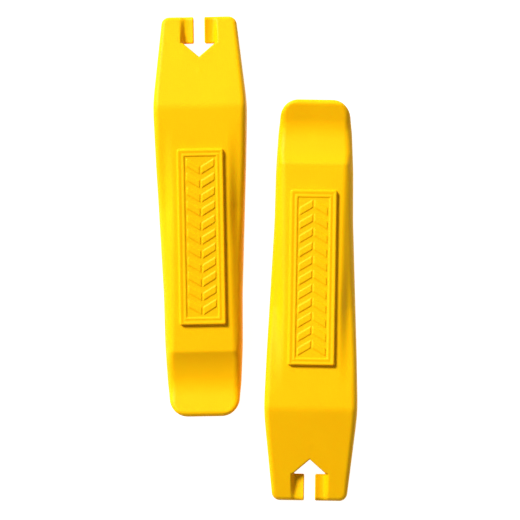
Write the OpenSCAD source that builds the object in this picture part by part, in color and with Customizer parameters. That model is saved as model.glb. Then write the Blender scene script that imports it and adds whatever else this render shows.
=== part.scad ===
// Pair of bicycle tyre levers, each one injection-moulded bar, laid side by side and end to end about.
// A lever is drawn with s, the distance from its spoon tip, along +Y, its width along X and its base on z = 0

/* [Plan of a lever] */
// Overall length from spoon tip to notch end
lever_l = 125; // [110:1:140]
// Width across the bend, the widest place
bend_w = 29.2; // [27:0.1:32]
// Width across the notch end
end_w = 23.1; // [20:0.1:25]
// Width across the step behind the spoon
heel_w = 24.2; // [22:0.1:26]
// Width of the body a little before the pad, where its sides start to spread
waist_w = 24.6; // [23:0.1:26]
// Width of the spoon where its round corners start
spoon_w = 22; // [20:0.1:23]
// Radius of the spoon's two corners
spoon_corner_r = 5.5; // [3:0.5:8]
// Radius of the notch end's two corners
end_corner_r = 2.2; // [0.5:0.1:3]

/* [Side profile of a lever] */
// Distance from the spoon tip to the step behind the spoon
heel_s = 20.2; // [19:0.1:22]
// Height of the top at that step
heel_h = 8.3; // [8:0.1:9.5]
// Distance from the spoon tip to the bend
bend_s = 96.5; // [90:0.5:100]
// Height of the top at the bend
bend_h = 11.4; // [10.5:0.1:13]
// Thickness of the notch end
end_t = 3.5; // [3:0.1:4.5]
// Radius that rounds the bend
bend_r = 6; // [2:0.5:10]
// Radius of the scoop's bottom, which the tyre bead lies in
scoop_r = 12; // [10:0.5:14]
// Slope of the scoop's lip side, in degrees
lip_slope = 17.5; // [14:0.5:20]
// Slope of the scoop where its bottom turns into its heel side, in degrees
scoop_slope = 12.5; // [11:0.5:14]
// Slope of the scoop's heel side at the step, in degrees
heel_slope = 27; // [25:0.5:28]
// Radius of the heel side between those two slopes
heel_r = 32.5; // [31:0.5:34]
// Radius of the bow under the spoon
bow_r = 50; // [45:1:60]
// Distance from the spoon tip to where the bow meets the flat base
bow_s = 23; // [21:0.5:24]

/* [Flanks and thumb rests] */
// Half-width of the top face between the two sloping flanks
flank_top_x = 9.3; // [9:0.1:10]
// Slope of a flank, in degrees below level
flank_slope = 32; // [28:1:34]
// Distance from the spoon tip to the thumb rests, the dished places in the flanks
rest_s = 63; // [61:1:65]
// Half-width of the top face between the thumb rests
rest_top_x = 8.9; // [8.8:0.1:9.1]
// Radius of a thumb rest across the lever
rest_r = 12; // [11:0.5:13]
// Slope at which a thumb rest leaves the top face, in degrees
rest_slope = 45; // [44:1:48]
// Radius of a thumb rest along the lever
rest_turn_r = 100; // [90:5:110]
// Direction in which a thumb rest runs out, in degrees above level
rest_rise = 105; // [100:5:110]

/* [Underside] */
// Thickness of the roof over the cored-out pocket
roof_t = 3.2; // [2.5:0.1:4]
// Half-width of the pocket at the base
pocket_base_x = 9.2; // [8:0.1:10]
// Half-width of the pocket at its roof
pocket_roof_x = 6.2; // [5:0.1:7]
// Where the pocket starts, from the spoon tip
pocket_start_s = 25; // [24:0.5:30]
// Where the pocket ends, from the spoon tip
pocket_end_s = 92; // [85:0.5:93]
// Number of cross ribs in the pocket
rib_n = 4; // [2:1:5]
// Thickness of a rib
rib_t = 1.8; // [1.2:0.1:2.5]
// How far the ribs stop short of the base
rib_set_back = 1; // [0.5:0.1:2]

/* [Spoke notch] */
// Width of the slot that a spoke enters by
slot_w = 3.4; // [2.8:0.1:4]
// Length of that slot
slot_l = 8.3; // [7:0.1:9]
// Width of the arrowhead that the spoke lies in
arrow_w = 10.4; // [8:0.1:12]
// Length of the arrowhead
arrow_l = 4.5; // [4:0.1:6]
// Depth of the two barbs' recess at the notch end
recess_d = 0.2; // [0.1:0.1:1]
// Width of the recess at the top
recess_w = 12.6; // [12:0.1:13.5]

/* [Label pad] */
// Width of the raised pad
pad_w = 14.4; // [12:0.1:16]
// Length of the raised pad
pad_l = 54.6; // [48:0.1:58]
// Distance from the spoon tip to the middle of the pad
pad_s = 55.8; // [54:0.1:58]
// Height of the pad above the top face
pad_h = 1.2; // [0.8:0.1:1.6]
// Width of the pad's outer rim
rim_w = 0.9; // [0.6:0.1:1.2]
// Width of the groove inside the rim
rim_groove_w = 0.7; // [0.4:0.1:1]
// Width of the inner frame
frame_w = 0.6; // [0.4:0.1:1]
// Depth of the groove and the field
field_d = 0.35; // [0.2:0.05:0.5]
// Number of tread chevrons in the field
chevron_n = 11; // [6:1:12]
// Gap that splits each chevron into two tread blocks
chevron_gap = 0.6; // [0.4:0.1:1]
// Width of a chevron's arm, measured along the lever
chevron_t = 2.3; // [1.5:0.1:2.5]
// How far a chevron's point leads its ends
chevron_rise = 2.6; // [1:0.1:3]

/* [Layout of the pair] */
// Distance between the two levers' middles, across
pair_gap_x = 34.5; // [32:0.5:80]
// How far the two levers are shifted along each other
pair_shift_y = 26.2; // [0:0.1:40]
// Angle that each lever lies off the Y axis, closing towards -Y
splay = 0.95; // [0:0.05:2]

/* [Hidden] */
yellow = [1, 0.78, 0.02];
over = 1;                     // how far a cutter stands past what it cuts
arc_steps = 8;                // straight steps in a corner's quarter circle
bow_steps = 12;
round_fn = 180;
body_slope = atan((bend_h - heel_h) / (bend_s - heel_s));
pocket_pitch = (pocket_end_s - pocket_start_s + rib_t) / (rib_n + 1);
field_w = pad_w - 2 * (rim_w + rim_groove_w + frame_w);
field_l = pad_l - 2 * (rim_w + rim_groove_w + frame_w);
chevron_pitch = (field_l - chevron_t - chevron_rise - 1.6) / (chevron_n - 1);

// Height of the bow's underside at s, and of the top face between the step and the bend.
function bow_h(s) = bow_r - sqrt(pow(bow_r, 2) - pow(bow_s - s, 2));
function top_h(s) = heel_h + (s - heel_s) * tan(body_slope);

// A quarter circle of the given radius about a centre, from one angle to another.
function corner(c, r, from, to) =
    [for (i = [0:arc_steps]) let (a = from + (to - from) * i / arc_steps) c + r * [cos(a), sin(a)]];

// The right half of the plan outline, from the spoon tip to the notch end.
right_edge = concat(
    corner([spoon_w / 2 - spoon_corner_r, spoon_corner_r], spoon_corner_r, -90, -3),
    [
        [heel_w / 2 - 0.6, heel_s / 2],
        [heel_w / 2, heel_s + 2],
        [waist_w / 2, 38],
        [bend_w / 2 - 0.55, bend_s - 17.5],
        [bend_w / 2 - 0.05, bend_s - 3],
        [bend_w / 2 - 0.05, bend_s + 1],
        [bend_w / 2 - 0.35, bend_s + 4.5],
    ],
    corner([end_w / 2 - end_corner_r, lever_l - end_corner_r], end_corner_r, 6, 90)
);
left_edge = [for (i = [len(right_edge) - 1:-1:0]) [-right_edge[i].x, right_edge[i].y]];
plan_outline = concat(right_edge, left_edge);

// Turns a 2-D shape drawn in (s, z) into a bar along X.
module across(w) {
    rotate([90, 0, 90]) linear_extrude(height = w, center = true) children();
}

// Points of a round about a centre, between two slopes in degrees; a hollow has a negative radius.
function round_points(c, r, from, to, n) =
    [for (i = [0:n]) let (a = from + (to - from) * i / n) c + r * [-sin(a), cos(a)]];

// The bend's round, between the body's slope and the notch end's.
end_slope = atan((bend_h - end_t) / (lever_l - bend_s));
bend_reach = bend_r * tan((body_slope + end_slope) / 2);
bend_start = [bend_s, bend_h] - bend_reach * [cos(body_slope), sin(body_slope)];
bend_centre = bend_start + bend_r * [sin(body_slope), -cos(body_slope)];

// The scoop is a hollow in two radii, then a straight slope up to the lip.
heel_centre = [heel_s, heel_h] + heel_r * [-sin(heel_slope), cos(heel_slope)];
scoop_centre = heel_centre + (heel_r - scoop_r) * [sin(scoop_slope), -cos(scoop_slope)];
lip_foot = scoop_centre + scoop_r * [-sin(lip_slope), -cos(lip_slope)];
lip_s = 1.4;                  // where the lip is highest
lip_h = lip_foot.y + (lip_foot.x - lip_s) * tan(lip_slope);
nose_s = 0.5;                 // where the lip's top starts, behind the round nose

module side_profile() {
    polygon(concat(
        [for (i = [0:bow_steps]) [bow_s * i / bow_steps, bow_h(bow_s * i / bow_steps)]],
        [[lever_l, 0], [lever_l, end_t]],
        round_points(bend_centre, bend_r, -end_slope, body_slope, 4),
        round_points(heel_centre, -heel_r, heel_slope, scoop_slope, bow_steps),
        round_points(scoop_centre, -scoop_r, scoop_slope - 3, -lip_slope, bow_steps),
        [[lip_s, lip_h], [nose_s, lip_h - 0.3], [0, lip_h - 0.9]]
    ));
}

// The cutter of one flank's sloping face, along the body.
module flank_cutter() {
    drop = tan(flank_slope);
    far = 12;
    translate([0, rest_s + 1, top_h(rest_s + 1)]) rotate([90 + body_slope, 0, 0])
        linear_extrude(height = lever_l) polygon([
            [flank_top_x, 0],
            [flank_top_x + far, -far * drop],
            [flank_top_x + far, far],
            [flank_top_x, far],
        ]);
}

// The cutter of one thumb rest: a dish that runs out upwards along the body in both directions.
module rest_cutter() {
    centre = [rest_top_x, top_h(rest_s)] + rest_r * [sin(rest_slope), cos(rest_slope)];
    translate([centre.x, rest_s, centre.y]) rotate([0, -rest_rise, 0]) translate([rest_turn_r, 0, 0])
        rotate([0, 0, 160]) rotate_extrude(angle = 40, $fn = round_fn)
            translate([rest_turn_r, 0]) circle(r = rest_r, $fn = round_fn);
}

// The cored-out pocket under the body, less its ribs.
module pocket() {
    difference() {
        intersection() {
            translate([0, pocket_end_s, 0]) rotate([90, 0, 0])
                linear_extrude(height = pocket_end_s - pocket_start_s)
                    polygon([
                        [-pocket_base_x - 0.3, -over],
                        [pocket_base_x + 0.3, -over],
                        [pocket_roof_x, bend_h - roof_t],
                        [-pocket_roof_x, bend_h - roof_t],
                    ]);
            across(bend_w) polygon([
                [pocket_start_s - 0.3, -over],
                [pocket_start_s + 1.5, top_h(pocket_start_s) - roof_t],
                [pocket_end_s - 1.5, top_h(pocket_end_s) - roof_t],
                [pocket_end_s + 0.3, -over],
            ]);
        }
        for (i = [1:rib_n])
            translate([-bend_w / 2, pocket_start_s - rib_t + i * pocket_pitch, rib_set_back])
                cube([bend_w, rib_t, bend_h]);
    }
}

// The arrow-shaped cut that a spoke enters, and the recess that thins the two barbs beside it.
module spoke_notch() {
    neck_s = lever_l - slot_l;
    translate([0, 0, -over]) linear_extrude(height = bend_h + 2 * over) polygon([
        [-slot_w / 2, lever_l + over],
        [-slot_w / 2, neck_s],
        [-arrow_w / 2, neck_s],
        [0, neck_s - arrow_l],
        [arrow_w / 2, neck_s],
        [slot_w / 2, neck_s],
        [slot_w / 2, lever_l + over],
    ]);
    intersection() {
        translate([0, lever_l, end_t]) rotate([90 - end_slope, 0, 0])
            linear_extrude(height = 4 * slot_l, center = true) polygon([
                [recess_w / 2 - 3.2, -4],
                [recess_w / 2 + 3.2, 4],
                [-recess_w / 2 - 3.2, 4],
                [-recess_w / 2 + 3.2, -4],
            ]);
        translate([-bend_w / 2, neck_s - 0.2, end_t - recess_d]) cube([bend_w, slot_l + over, bend_h]);
    }
}

// A flat ring as wide as the wall, in the pad's plane.
module frame_ring(w, l, wall) {
    difference() {
        square([w, l], center = true);
        square([w - 2 * wall, l - 2 * wall], center = true);
    }
}

// One tread chevron: two leaning blocks, either side of the gap.
module chevron() {
    half = field_w / 2 - 0.7;
    lean = chevron_rise / half;
    for (side = [0, 1]) mirror([side, 0])
        polygon([
            [chevron_gap / 2, lean * chevron_gap / 2 - chevron_rise],
            [half, 0],
            [half, chevron_t],
            [chevron_gap / 2, lean * chevron_gap / 2 + chevron_t - chevron_rise],
        ]);
}

// The raised pad: a plate with a rim, a groove, an inner frame and a field of tread chevrons.
module label_pad() {
    groove_out = pad_w - 2 * rim_w;
    groove_out_l = pad_l - 2 * rim_w;
    translate([0, pad_s, top_h(pad_s)]) rotate([body_slope, 0, 0]) {
        translate([0, 0, -over]) linear_extrude(height = over + pad_h - field_d)
            square([pad_w, pad_l], center = true);
        translate([0, 0, pad_h - field_d]) linear_extrude(height = field_d) {
            frame_ring(pad_w, pad_l, rim_w);
            frame_ring(groove_out - 2 * rim_groove_w, groove_out_l - 2 * rim_groove_w, frame_w);
            for (i = [0:chevron_n - 1])
                translate([0, (i - (chevron_n - 1) / 2) * chevron_pitch + (chevron_rise - chevron_t) / 2])
                    chevron();
        }
    }
}

// One whole lever in its own frame: spoon tip at y = 0, base on z = 0.
module lever() {
    color(yellow) union() {
        difference() {
            intersection() {
                across(2 * bend_w) side_profile();
                linear_extrude(height = 2 * bend_h) polygon(plan_outline);
            }
            for (side = [0, 1]) mirror([side, 0, 0]) {
                flank_cutter();
                rest_cutter();
            }
            pocket();
            spoke_notch();
        }
        label_pad();
    }
}

// Where a lever's outline reaches once it is turned by an angle about its middle.
function turned(p, a) =
    let (y = p.y - lever_l / 2) [cos(a) * p.x - sin(a) * y, sin(a) * p.x + cos(a) * y];
function reach(a, axis, sign) = max([for (p = plan_outline) sign * turned(p, a)[axis]]);
left_turn = splay;
right_turn = 180 - splay;
// The pair's box is centred on the origin, so each middle is worked out from both outlines' reach.
mid_x = (reach(right_turn, 0, 1) - reach(left_turn, 0, -1)) / 2;
mid_y = (reach(left_turn, 1, 1) - reach(right_turn, 1, -1)) / 2;

module left_lever() {
    translate([-pair_gap_x / 2 - mid_x, pair_shift_y / 2 - mid_y, 0])
        rotate([0, 0, left_turn]) translate([0, -lever_l / 2, 0]) lever();
}

module right_lever() {
    translate([pair_gap_x / 2 - mid_x, -pair_shift_y / 2 - mid_y, 0])
        rotate([0, 0, right_turn]) translate([0, -lever_l / 2, 0]) lever();
}

left_lever();
right_lever();
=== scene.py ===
"""Looks of the pair of tyre levers. Each lever is one moulded bar, a smooth solid field made into a mesh.
Lengths are in millimetres until a mesh is placed. x runs across a lever, s from its spoon tip, z upwards."""
import bpy
import math
import numpy as np
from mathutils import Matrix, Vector


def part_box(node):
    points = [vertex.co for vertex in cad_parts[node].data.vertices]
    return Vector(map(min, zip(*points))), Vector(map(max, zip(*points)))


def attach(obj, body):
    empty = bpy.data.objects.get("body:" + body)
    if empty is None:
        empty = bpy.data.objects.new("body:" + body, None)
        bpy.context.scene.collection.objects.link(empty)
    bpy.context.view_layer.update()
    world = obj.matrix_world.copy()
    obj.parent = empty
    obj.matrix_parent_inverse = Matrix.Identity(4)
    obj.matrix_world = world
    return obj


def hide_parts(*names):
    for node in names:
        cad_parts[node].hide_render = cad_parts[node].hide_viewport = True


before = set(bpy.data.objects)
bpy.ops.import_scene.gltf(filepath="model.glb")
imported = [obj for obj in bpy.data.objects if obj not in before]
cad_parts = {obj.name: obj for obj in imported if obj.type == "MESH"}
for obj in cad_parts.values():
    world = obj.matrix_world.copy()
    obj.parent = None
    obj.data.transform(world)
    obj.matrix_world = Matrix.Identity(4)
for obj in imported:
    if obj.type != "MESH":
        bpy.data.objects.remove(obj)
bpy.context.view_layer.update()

# ------------------------------------------------ the bar
METRE = 1000
LEVER_L = 125.0
BEND_W, END_W, HEEL_W, WAIST_W, SPOON_W = 29.2, 23.1, 24.2, 24.6, 22.0
TIP_W, WAIST_S = 20.8, 38
SPOON_CORNER_R, END_CORNER_R = 5.5, 2.2
SIDE_DRAFT = 0.014
HEEL_S, HEEL_H = 20.2, 8.3
BEND_S, BEND_H, END_T = 96.5, 11.4, 3.5
SCOOP_R, SCOOP_SLOPE = 12.0, math.radians(12.5)
LIP_S, LIP_SLOPE, LIP_FALL = 1.4, math.radians(17.5), 0.35
HEEL_R, HEEL_SLOPE = 32.5, math.radians(27)
BOW_R, BOW_S = 50.0, 23.0
SPOON_BLEND, BEND_BLEND, SIDE_BLEND = 0.35, 0.85, 1.3
BLEND_CHANGE_S, BLEND_CHANGE_RUN = 60, 10
# Rounds of the upper and the lower edge, as (place along the lever, radius).
TOP_EDGE = (
    (0, 1.0), (4, 1.6), (9, 2.6), (18, 2.5), (24, 1.5),
    (84, 1.7), (91, 2.0), (104, 1.6), (120, 1.4), (125, 1.1),
)
FOOT_EDGE = ((0, 0.7), (6, 1.0), (18, 1.0), (25, 0.45))

# ------------------------------------------------ flanks and thumb rests: slopes across the top
FLANK_X, FLANK_CURVE, FLANK_STEEPEST = 8.3, 0.42, 0.72
FLANK_START_S, FLANK_START_RUN, FLANK_FADE = 19, 5, 1.3
HEEL_FLANK_OUT, HEEL_FLANK_S, HEEL_FLANK_END = 0.5, 22, 45
REST_S, REST_END, REST_BLEND_S, REST_BLEND_RUN = 65.0, 92.0, 57, 18
REST_EDGE_X, REST_EDGE_RUN, REST_SLOPE = 8.6, 1.2, 0.32
REST_DISH_X, REST_DISH_SLOPE, REST_DISH_SHARP = 10.0, 0.6, 0.7
FLANK_LEAN = 0.6  # about how steep they are, which keeps the field close to a true distance

# ------------------------------------------------ what is cut into the bar, and the gate mark
ROOF_T, POCKET_BASE_X, POCKET_ROOF_X, POCKET_START, POCKET_END = 3.2, 9.5, 6.2, 25.0, 92.0
POCKET_BASE_Z, POCKET_ENDS_Z, POCKET_END_DRAFT, POCKET_CORNER_R, POCKET_ROOF_R = -1, 1, 0.1, 1.6, 0.9
RIB_N, RIB_T, RIB_SET_BACK, RIB_DRAFT, RIB_EDGE_R, RIB_ROOT_R = 4, 1.8, 1.0, 0.02, 0.35, 0.5
SLOT_W, SLOT_L, ARROW_W, ARROW_L, STEM_OVERLAP, NOTCH_R = 3.4, 8.3, 10.4, 4.5, 1, 0.45
CUT_EDGE_R = 0.4
GROOVE_X, GROOVE_D, GROOVE_CURVE = 4.1, 0.3, 0.1
GROOVE_WALL_X, GROOVE_WALL_RUN, GROOVE_START, GROOVE_START_RUN = 5.15, 1.8, -0.1, 0.5
GATE_S, GATE_H, GATE_SHARP = 107.5, 0.05, 2

# ------------------------------------------------ the label pad
PAD_W, PAD_L, PAD_S, PAD_H, FIELD_D = 14.4, 54.6, 55.8, 1.2, 0.25
PAD_CORNER_R, PAD_EDGE_R, PAD_FOOT_R, PAD_DRAFT, PAD_ROOT = 0.6, 0.28, 0.22, 0.1, 0.8
RIM_W, RIM_GROOVE_W, RIM_GROOVE_SHARE, FRAME_W = 0.9, 0.7, 0.5, 0.6
RIM_RUN, FRAME_RUN, BLOCK_RUN = 0.6, 0.5, 0.5
CHEVRON_N, CHEVRON_T, CHEVRON_RISE, CHEVRON_GAP = 11, 2.3, 2.6, 0.6
CHEVRON_SIDE_GAP, CHEVRON_END_GAP, CHEVRON_EDGE_R, CHEVRON_MIDDLE_R = 0.7, 1.6, 0.3, 0.2

# ------------------------------------------------ places worked out from those
BODY_SLOPE = math.atan((BEND_H - HEEL_H) / (BEND_S - HEEL_S))
NECK_S = LEVER_L - SLOT_L
HEEL_C = (HEEL_S - HEEL_R * math.sin(HEEL_SLOPE), HEEL_H + HEEL_R * math.cos(HEEL_SLOPE))
SCOOP_C = (
    HEEL_C[0] + (HEEL_R - SCOOP_R) * math.sin(SCOOP_SLOPE),
    HEEL_C[1] - (HEEL_R - SCOOP_R) * math.cos(SCOOP_SLOPE),
)
SCOOP_OUT = SCOOP_C[0] + SCOOP_R * math.sin(SCOOP_SLOPE)
SCOOP_IN = SCOOP_C[0] - SCOOP_R * math.sin(LIP_SLOPE)
LIP_H = SCOOP_C[1] - SCOOP_R * math.cos(LIP_SLOPE) + (SCOOP_IN - LIP_S) * math.tan(LIP_SLOPE)


# ------------------------------------------------ rounded solid algebra
def both(a, b, r):
    """Where two solids overlap, with the edge between them rounded."""
    return np.minimum(np.maximum(a, b), -r) + np.hypot(np.maximum(a + r, 0), np.maximum(b + r, 0))


def either(a, b, r):
    """Two solids joined, with a fillet between them."""
    return -both(-a, -b, r)


def step(edge, width, v):
    """0 below the edge, 1 above it, with a smooth rise of the given width."""
    t = np.clip((v - edge) / width + 0.5, 0, 1)
    return t * t * (3 - 2 * t)


def rising(edge, width, v):
    """The average slope of such a step where it rises, and 0 elsewhere."""
    level = step(edge, width, v)
    return np.where((level > 0) & (level < 1), 1 / width, 0)


# ------------------------------------------------ profiles along and across the lever
TAB_STEP = 0.05
BLUR_REACH = 80  # in steps of the table
S_TAB = np.arange(-6, 132, TAB_STEP)
X_TAB = np.arange(7, 16, TAB_STEP)


def blurred(v, sigma):
    """A curve over S_TAB with its corners rounded over about sigma millimetres."""
    k = np.exp(-0.5 * (np.arange(-BLUR_REACH, BLUR_REACH + 1) * TAB_STEP / sigma) ** 2)
    padded = np.pad(v, BLUR_REACH, mode="reflect", reflect_type="odd")
    return np.convolve(padded, k / k.sum(), mode="valid")


def body_top(s):
    """Height of the body's top face."""
    return HEEL_H + (s - HEEL_S) * math.tan(BODY_SLOPE)


def circle_bottom(centre, r):
    """Height of the lower half of a circle over S_TAB, held level beyond its sides."""
    return centre[1] - np.sqrt(np.clip(r ** 2 - (S_TAB - centre[0]) ** 2, 1, None))


def top_curve():
    """Height of the top along the middle: lip, scoop, step, body and wedge, with crisp corners."""
    wedge = BEND_H + (END_T - BEND_H) * (S_TAB - BEND_S) / (LEVER_L - BEND_S)
    fall = LIP_H + (LIP_S - S_TAB) * math.tan(LIP_SLOPE)
    tip = LIP_H - LIP_FALL * (LIP_S - S_TAB)
    top = np.where(S_TAB < BEND_S, body_top(S_TAB), wedge)
    top = np.where(S_TAB < HEEL_S, circle_bottom(HEEL_C, HEEL_R), top)
    top = np.where(S_TAB <= SCOOP_OUT, circle_bottom(SCOOP_C, SCOOP_R), top)
    top = np.where(S_TAB <= SCOOP_IN, fall, top)
    return np.where(S_TAB < LIP_S, tip, top)


def half_width():
    """Half the lever's width, from (place, half width) stops that run on a little beyond both ends."""
    bend_half = BEND_W / 2
    stops = [
        (-6, TIP_W / 2),
        (SPOON_CORNER_R, SPOON_W / 2),
        (HEEL_S / 2, HEEL_W / 2 - 0.6),
        (HEEL_S + 2, HEEL_W / 2),
        (WAIST_S, WAIST_W / 2),
        (BEND_S - 17.5, bend_half - 0.55),
        (BEND_S - 3, bend_half - 0.05),
        (BEND_S + 1, bend_half - 0.05),
        (BEND_S + 4.5, bend_half - 0.35),
        (LEVER_L, END_W / 2),
    ]
    (last_s, last_half), (end_s, end_half) = stops[-2:]
    beyond = 15
    stops.append((end_s + beyond, end_half + beyond * (end_half - last_half) / (end_s - last_s)))
    return np.interp(S_TAB, *zip(*stops))


def summed(slope):
    """The drop that a slope across the lever adds up to, from the first place in X_TAB outwards."""
    return np.concatenate([[0], np.cumsum((slope[1:] + slope[:-1]) / 2 * TAB_STEP)])


def flank_slope():
    """Slope of the body's flank, across the lever."""
    return np.clip(FLANK_CURVE * (X_TAB - FLANK_X), 0, FLANK_STEEPEST)


def rest_slope():
    """Slope of the thumb rest, across the lever, steepest in its dish."""
    dish = REST_DISH_SLOPE * np.exp(-REST_DISH_SHARP * (X_TAB - REST_DISH_X) ** 2)
    return step(REST_EDGE_X, REST_EDGE_RUN, X_TAB) * (REST_SLOPE + dish)


FLANK, REST = summed(flank_slope()), summed(rest_slope())
TOWARDS_END = step(BLEND_CHANGE_S, BLEND_CHANGE_RUN, S_TAB)
CRISP_TOP = top_curve()
TOP = blurred(CRISP_TOP, SPOON_BLEND) * (1 - TOWARDS_END) + blurred(CRISP_TOP, BEND_BLEND) * TOWARDS_END
WIDTH = blurred(half_width(), SIDE_BLEND)
BOW = BOW_R - np.sqrt(BOW_R ** 2 - np.clip(BOW_S - S_TAB, 0, None) ** 2)
TOP_DS, WIDTH_DS, BOW_DS = (np.gradient(c, TAB_STEP) for c in (TOP, WIDTH, BOW))


def along(s, curve):
    """A profile's value at each s."""
    return np.interp(s, S_TAB, curve)


# ------------------------------------------------ parts of the lever as fields, negative inside
def barb_groove(ax, s):
    """How deep the dished groove along each barb is, and how steep its two sides are."""
    inwards = np.clip(GROOVE_X - ax, 0, None)
    floor = END_T - GROOVE_D + GROOVE_CURVE * inwards ** 2
    deep = np.clip(along(s, TOP) - floor, 0, None) * step(NECK_S + GROOVE_START, GROOVE_START_RUN, s)
    wall = deep * rising(GROOVE_WALL_X, GROOVE_WALL_RUN, ax)
    dish = np.where(deep > 0, 2 * GROOVE_CURVE * inwards, 0)
    return deep * (1 - step(GROOVE_WALL_X, GROOVE_WALL_RUN, ax)), wall + dish


def flank_drop(ax, s):
    """How far the flanks and thumb rests fall below the middle of the top, and how steeply."""
    fade = np.clip((REST_END - s) / (REST_END - REST_S), 0, 1) ** FLANK_FADE
    fade = fade * step(FLANK_START_S, FLANK_START_RUN, s)
    at_rest = step(REST_BLEND_S, REST_BLEND_RUN, s)
    out = ax - np.interp(s, [HEEL_FLANK_S, HEEL_FLANK_END], [HEEL_FLANK_OUT, 0])
    drop = (1 - at_rest) * np.interp(out, X_TAB, FLANK) + at_rest * np.interp(ax, X_TAB, REST)
    return fade * drop, fade * np.where(ax > FLANK_X, FLANK_LEAN, 0)


def bar(x, s, z):
    """The solid bar with its rounded edges, before the pocket and the notch are cut."""
    ax = np.abs(x)
    side = (ax - along(s, WIDTH) + SIDE_DRAFT * z) / np.sqrt(1 + along(s, WIDTH_DS) ** 2)
    plan = both(both(side, -s, SPOON_CORNER_R), s - LEVER_L, END_CORNER_R)
    drop, flank_lean = flank_drop(ax, s)
    groove, groove_lean = barb_groove(ax, s)
    gate_mark = GATE_H * np.exp(-GATE_SHARP * (ax ** 2 + (s - GATE_S) ** 2))
    height = along(s, TOP) - drop - groove + gate_mark
    top = (z - height) / np.sqrt(1 + along(s, TOP_DS) ** 2 + (flank_lean + groove_lean) ** 2)
    under = (along(s, BOW) - z) / np.sqrt(1 + along(s, BOW_DS) ** 2)
    solid = both(plan, top, np.interp(s, *zip(*TOP_EDGE)))
    return both(solid, under, np.interp(s, *zip(*FOOT_EDGE)))


def pocket(x, s, z):
    """The cored-out underside, less its ribs."""
    wall = (POCKET_BASE_X - POCKET_ROOF_X) / (BEND_H - ROOF_T - POCKET_BASE_Z)
    side = (np.abs(x) - (POCKET_BASE_X - wall * (z - POCKET_BASE_Z))) / math.hypot(1, wall)
    half_l = (POCKET_END - POCKET_START) / 2
    ends = np.abs(s - (POCKET_START + POCKET_END) / 2) - half_l + POCKET_END_DRAFT * (z - POCKET_ENDS_Z)
    roof = z - (body_top(s) - ROOF_T)
    hollow = both(both(side, ends, POCKET_CORNER_R), roof, POCKET_ROOF_R)
    pitch = (POCKET_END - POCKET_START + RIB_T) / (RIB_N + 1)
    for i in range(1, RIB_N + 1):
        middle = POCKET_START - RIB_T / 2 + i * pitch
        rib = both(np.abs(s - middle) - RIB_T / 2 - RIB_DRAFT * z, RIB_SET_BACK - z, RIB_EDGE_R)
        hollow = both(hollow, -rib, RIB_ROOT_R)
    return hollow


def notch(x, s):
    """The arrow-shaped cut, seen in plan."""
    ax = np.abs(x)
    lean = 2 * ARROW_L / ARROW_W
    head = np.maximum((NECK_S - ARROW_L - s + ax * lean) / math.hypot(1, lean), s - NECK_S)
    stem = np.maximum(ax - SLOT_W / 2, NECK_S - STEM_OVERLAP - s)
    return either(head, stem, NOTCH_R)


def tread_blocks(ax, t):
    """The pad's chevrons in plan: ax is the distance from the middle line, t the place along the pad."""
    border = RIM_W + RIM_GROOVE_W + FRAME_W
    half_w = PAD_W / 2 - border - CHEVRON_SIDE_GAP
    pitch = (PAD_L - 2 * border - CHEVRON_T - CHEVRON_RISE - CHEVRON_END_GAP) / (CHEVRON_N - 1)
    v = t - (CHEVRON_RISE - CHEVRON_T) / 2 + CHEVRON_RISE * (1 - ax / half_w) + CHEVRON_N * pitch / 2
    k = np.clip(np.round((v - CHEVRON_T / 2 - pitch / 2) / pitch), 0, CHEVRON_N - 1)
    lean = math.cos(math.atan(CHEVRON_RISE / half_w))
    block = (np.abs(v - pitch / 2 - k * pitch - CHEVRON_T / 2) - CHEVRON_T / 2) * lean
    return both(both(block, ax - half_w, CHEVRON_EDGE_R), CHEVRON_GAP / 2 - ax, CHEVRON_MIDDLE_R)


def label_pad(x, s, z):
    """The raised pad with its rim, groove, inner frame and tread blocks."""
    c, n = math.cos(BODY_SLOPE), math.sin(BODY_SLOPE)
    ds, dz = s - PAD_S, z - body_top(PAD_S)
    t, h = ds * c + dz * n, dz * c - ds * n
    ax = np.abs(x)
    qx, qt = ax - PAD_W / 2 + PAD_CORNER_R, np.abs(t) - PAD_L / 2 + PAD_CORNER_R
    edge = np.hypot(np.maximum(qx, 0), np.maximum(qt, 0)) + np.minimum(np.maximum(qx, qt), 0) - PAD_CORNER_R
    frame_out = RIM_W + RIM_GROOVE_W
    field = 1 - step(-frame_out - FRAME_W, FRAME_RUN, edge)
    frame_ring = (1 - field) * (1 - step(-frame_out, FRAME_RUN, edge))
    sunk = 1 - np.maximum(step(-RIM_W, RIM_RUN, edge), frame_ring)
    sunk = sunk * (RIM_GROOVE_SHARE + (1 - RIM_GROOVE_SHARE) * field)
    height = PAD_H - FIELD_D * sunk * step(0, BLOCK_RUN, tread_blocks(ax, t))
    plate = both(edge + PAD_DRAFT * h, h - height, PAD_EDGE_R)
    return np.maximum(plate, -h - PAD_ROOT)


def lever(x, s, z):
    """The whole lever."""
    solid = both(bar(x, s, z), -pocket(x, s, z), CUT_EDGE_R)
    solid = both(solid, -notch(x, s), CUT_EDGE_R)
    return either(solid, label_pad(x, s, z), PAD_FOOT_R)


# ------------------------------------------------ meshing
def graded(stops):
    """Grid lines between stops of (place, spacing from there on)."""
    lines = []
    for (start, spacing), (end, _) in zip(stops, stops[1:]):
        lines.append(np.linspace(start, end, round((end - start) / spacing) + 1)[:-1])
    return np.concatenate(lines + [[stops[-1][0]]])


GRID = (
    graded([(-15.0, 0.45), (-7.7, 0.27), (7.7, 0.45), (15.0, 0)]),
    graded([(-0.6, 0.45), (28.0, 0.33), (84.0, 0.56), (109, 0.42), (125.6, 0)]),
    graded([(-0.5, 0.31), (13.3, 0)]),
)
PULLS, LONGEST_PULL, LEAST_SLOPE, GRADIENT_REACH = 3, 0.15, 0.2, 0.02


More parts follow.
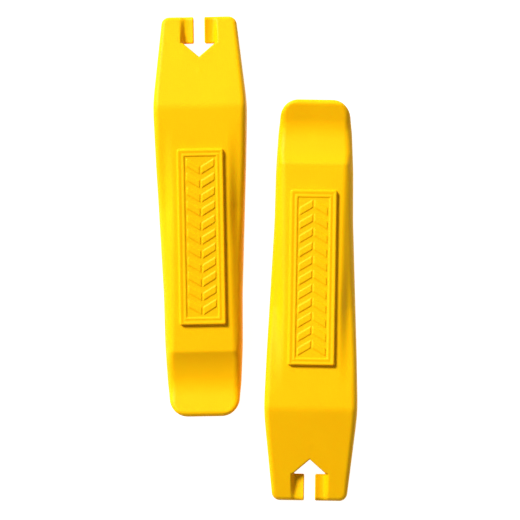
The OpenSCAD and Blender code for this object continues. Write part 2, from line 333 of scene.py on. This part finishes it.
def gradient(p):
    """How fast the lever's field rises along x, s and z at each point: it points out of the lever."""
    g = np.empty_like(p)
    for i in range(3):
        hi, lo = p.copy(), p.copy()
        hi[:, i] += GRADIENT_REACH
        lo[:, i] -= GRADIENT_REACH
        g[:, i] = (lever(*hi.T) - lever(*lo.T)) / (2 * GRADIENT_REACH)
    return g


def crossed_cells(inside):
    """The grid cells that have some corners inside the lever and some outside."""
    n = np.array(inside.shape)
    count = np.zeros(n - 1, np.int8)
    for i in (0, 1):
        for j in (0, 1):
            for k in (0, 1):
                count += inside[i:n[0] - 1 + i, j:n[1] - 1 + j, k:n[2] - 1 + k]
    return (count > 0) & (count < 8)


def net(lines):
    """A closed quad mesh: a point in each crossed cell, a quad around each crossed grid edge."""
    field = lever(*np.meshgrid(*lines, indexing="ij"))
    cells = crossed_cells(field < 0)
    number = np.full(cells.shape, -1)
    number[cells] = np.arange(cells.sum())
    total, places, quads = np.zeros(cells.sum()), np.zeros((cells.sum(), 3)), []
    for a in range(3):
        b, c = (a + 1) % 3, (a + 2) % 3
        low, high = [slice(None)] * 3, [slice(None)] * 3
        low[a], high[a] = slice(None, -1), slice(1, None)
        fa, fb = field[tuple(low)], field[tuple(high)]
        at = np.argwhere((fa < 0) != (fb < 0))
        va, vb = fa[tuple(at.T)], fb[tuple(at.T)]
        point = np.stack([lines[d][at[:, d]] for d in range(3)], 1)
        point[:, a] += va / (va - vb) * (lines[a][at[:, a] + 1] - lines[a][at[:, a]])
        ring = []
        for db, dc in ((0, 0), (-1, 0), (-1, -1), (0, -1)):
            cell = at.copy()
            cell[:, b] += db
            cell[:, c] += dc
            who = number[tuple(cell.T)]
            ring.append(who)
            total += np.bincount(who, minlength=len(total))
            for d in range(3):
                places[:, d] += np.bincount(who, weights=point[:, d], minlength=len(total))
        quad = np.stack(ring, 1)
        quads.append(np.where((va < 0)[:, None], quad, quad[:, ::-1]))
    return places / total[:, None], np.concatenate(quads)


def surface(lines):
    """The lever's mesh with its points pulled onto the surface: points, quads and normals."""
    p, quads = net(lines)
    for _ in range(PULLS):
        g = gradient(p)
        move = g * (lever(*p.T) / np.maximum((g ** 2).sum(1), LEAST_SLOPE))[:, None]
        length = np.linalg.norm(move, axis=1)
        p -= move * np.minimum(1, LONGEST_PULL / np.maximum(length, 1e-9))[:, None]
    g = gradient(p)
    return p, quads, g / np.maximum(np.linalg.norm(g, axis=1), 1e-9)[:, None]


POINTS, QUADS, NORMALS = surface(GRID)


# ------------------------------------------------ placing the pair
SPLAY = 0.95


def turned(xy, angle):
    """Plan coordinates turned about the origin, in degrees."""
    a = math.radians(angle)
    x, y = xy.T
    return np.stack([math.cos(a) * x - math.sin(a) * y, math.sin(a) * x + math.cos(a) * y], 1)


def middle_of(node):
    """Middle of a CAD node's box in plan, in millimetres."""
    low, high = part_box(node)
    return np.array([(low.x + high.x) / 2, (low.y + high.y) / 2]) * METRE


def place(name, node, angle, material):
    """A lever's mesh at its place in the pair, in metres, centred on its CAD node."""
    flat = turned(POINTS[:, :2] - (0, LEVER_L / 2), angle)
    flat += middle_of(node) - (flat.max(0) + flat.min(0)) / 2
    co = np.column_stack([flat, POINTS[:, 2]]) / METRE
    no = np.column_stack([turned(NORMALS[:, :2], angle), NORMALS[:, 2]])
    mesh = bpy.data.meshes.new(name)
    mesh.vertices.add(len(co))
    mesh.vertices.foreach_set("co", co.astype(np.float32).ravel())
    mesh.loops.add(QUADS.size)
    mesh.loops.foreach_set("vertex_index", QUADS.astype(np.int32).ravel())
    mesh.polygons.add(len(QUADS))
    mesh.polygons.foreach_set("loop_start", np.arange(0, QUADS.size, 4, dtype=np.int32))
    mesh.polygons.foreach_set("use_smooth", np.ones(len(QUADS), bool))
    mesh.update(calc_edges=True)
    mesh.validate()
    mesh.normals_split_custom_set_from_vertices(no.astype(np.float32))
    mesh.materials.append(material)
    obj = bpy.data.objects.new(name, mesh)
    bpy.context.scene.collection.objects.link(obj)
    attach(obj, node)
    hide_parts(node)


# ------------------------------------------------ materials
def new_material(name):
    """A material with nodes, and its main shader."""
    material = bpy.data.materials.new(name)
    material.use_nodes = True
    return material, material.node_tree.nodes["Principled BSDF"]


def noise(material, scale, detail):
    """Noise over the object's own coordinates."""
    nodes = material.node_tree.nodes
    texture = nodes.new("ShaderNodeTexNoise")
    texture.inputs["Scale"].default_value = scale
    texture.inputs["Detail"].default_value = detail
    where = nodes.new("ShaderNodeTexCoord")
    material.node_tree.links.new(where.outputs["Object"], texture.inputs["Vector"])
    return texture.outputs["Fac"]


def yellow_plastic():
    """Satin moulded plastic: slightly cloudy yellow, fine grain, light that goes in a little way."""
    material, shader = new_material("moulded_yellow_plastic")
    nodes, links = material.node_tree.nodes, material.node_tree.links
    cloud, grain = noise(material, 60, 3), noise(material, 2600, 2)
    tint = nodes.new("ShaderNodeValToRGB")
    deeper, paler = tint.color_ramp.elements
    deeper.position, deeper.color = 0.35, (0.87, 0.448, 0.0005, 1)
    paler.position, paler.color = 0.65, (0.89, 0.466, 0.0005, 1)
    gloss = nodes.new("ShaderNodeMapRange")
    gloss.inputs["To Min"].default_value, gloss.inputs["To Max"].default_value = 0.42, 0.54
    bump = nodes.new("ShaderNodeBump")
    bump.inputs["Strength"].default_value = 0.06
    bump.inputs["Distance"].default_value = 0.0001
    links.new(cloud, tint.inputs["Fac"])
    links.new(tint.outputs["Color"], shader.inputs["Base Color"])
    links.new(cloud, gloss.inputs["Value"])
    links.new(gloss.outputs["Result"], shader.inputs["Roughness"])
    links.new(grain, bump.inputs["Height"])
    links.new(bump.outputs["Normal"], shader.inputs["Normal"])
    shader.inputs["IOR"].default_value = 1.49
    shader.inputs["Specular IOR Level"].default_value = 0.07
    shader.inputs["Subsurface Weight"].default_value = 0.22
    shader.inputs["Subsurface Radius"].default_value = (1.0, 0.32, 0.05)
    shader.inputs["Subsurface Scale"].default_value = 0.001
    return material


def pale_floor():
    """White as seen, but too dark to throw much light back onto the levers."""
    material, shader = new_material("pale_floor")
    shader.inputs["Roughness"].default_value = 0.9
    shader.inputs["Base Color"].default_value = (0.3, 0.3, 0.3, 1)
    shader.inputs["Emission Color"].default_value = (1, 1, 1, 1)
    shader.inputs["Emission Strength"].default_value = 0.96
    return material


plastic = yellow_plastic()
place("left_lever_moulding", "left_lever", SPLAY, plastic)
place("right_lever_moulding", "right_lever", 180 - SPLAY, plastic)

# ------------------------------------------------ floor, light and background
FLOOR_HALF, FLOOR_Z = 3.0, -0.0001
KEY_AT, KEY_SIZE, KEY_POWER = (-3.4, 3.4, 3.6), 2.2, 680
SKY_LIGHT, SKY_SEEN = 0.25, 1.0


def lay_floor():
    """A wide floor just under the pair."""
    corners = [(x * FLOOR_HALF, y * FLOOR_HALF, 0) for x, y in ((-1, -1), (1, -1), (1, 1), (-1, 1))]
    mesh = bpy.data.meshes.new("floor")
    mesh.from_pydata(corners, [], [(0, 1, 2, 3)])
    mesh.materials.append(pale_floor())
    floor = bpy.data.objects.new("floor", mesh)
    floor.location.z = FLOOR_Z
    bpy.context.scene.collection.objects.link(floor)


def hang_key_light():
    """One soft lamp over the far left corner, turned to the middle of the pair."""
    data = bpy.data.lights.new("key", "AREA")
    data.shape = "DISK"
    data.size, data.energy = KEY_SIZE, KEY_POWER
    light = bpy.data.objects.new("key", data)
    light.location = KEY_AT
    light.rotation_mode = "QUATERNION"
    light.rotation_quaternion = (-Vector(KEY_AT)).to_track_quat("-Z", "Y")
    bpy.context.scene.collection.objects.link(light)


def light_sky():
    """A white surround that the camera sees as white and that lights the levers weakly."""
    world = bpy.data.worlds.new("studio")
    world.use_nodes = True
    nodes, links = world.node_tree.nodes, world.node_tree.links
    background = nodes["Background"]
    background.inputs["Color"].default_value = (1, 1, 1, 1)
    ray = nodes.new("ShaderNodeLightPath")
    strength = nodes.new("ShaderNodeMapRange")
    strength.inputs["To Min"].default_value, strength.inputs["To Max"].default_value = SKY_LIGHT, SKY_SEEN
    links.new(ray.outputs["Is Camera Ray"], strength.inputs["Value"])
    links.new(strength.outputs["Result"], background.inputs["Strength"])
    bpy.context.scene.world = world


lay_floor()
hang_key_light()
light_sky()
bpy.context.scene.view_settings.view_transform = "Standard"

# ------------------------------------------------ camera, in metres, a little off the vertical
VIEW_WIDTH, DISTANCE = 0.1625, 1.4
CENTRE_X, CENTRE_Y = 0.00135, -0.0005
TURN_X, TURN_Y = math.radians(1.2), math.radians(-1.9)

camera_data = bpy.data.cameras.new("camera")
camera_data.lens = camera_data.sensor_width * DISTANCE / VIEW_WIDTH
camera_data.clip_start, camera_data.clip_end = 0.05, 20
camera = bpy.data.objects.new("camera", camera_data)
camera.location = (
    CENTRE_X + DISTANCE * math.tan(TURN_X),
    CENTRE_Y + DISTANCE * math.tan(TURN_Y),
    DISTANCE,
)
camera.rotation_euler = (-TURN_Y, TURN_X, 0)
bpy.context.scene.collection.objects.link(camera)
bpy.context.scene.camera = camera
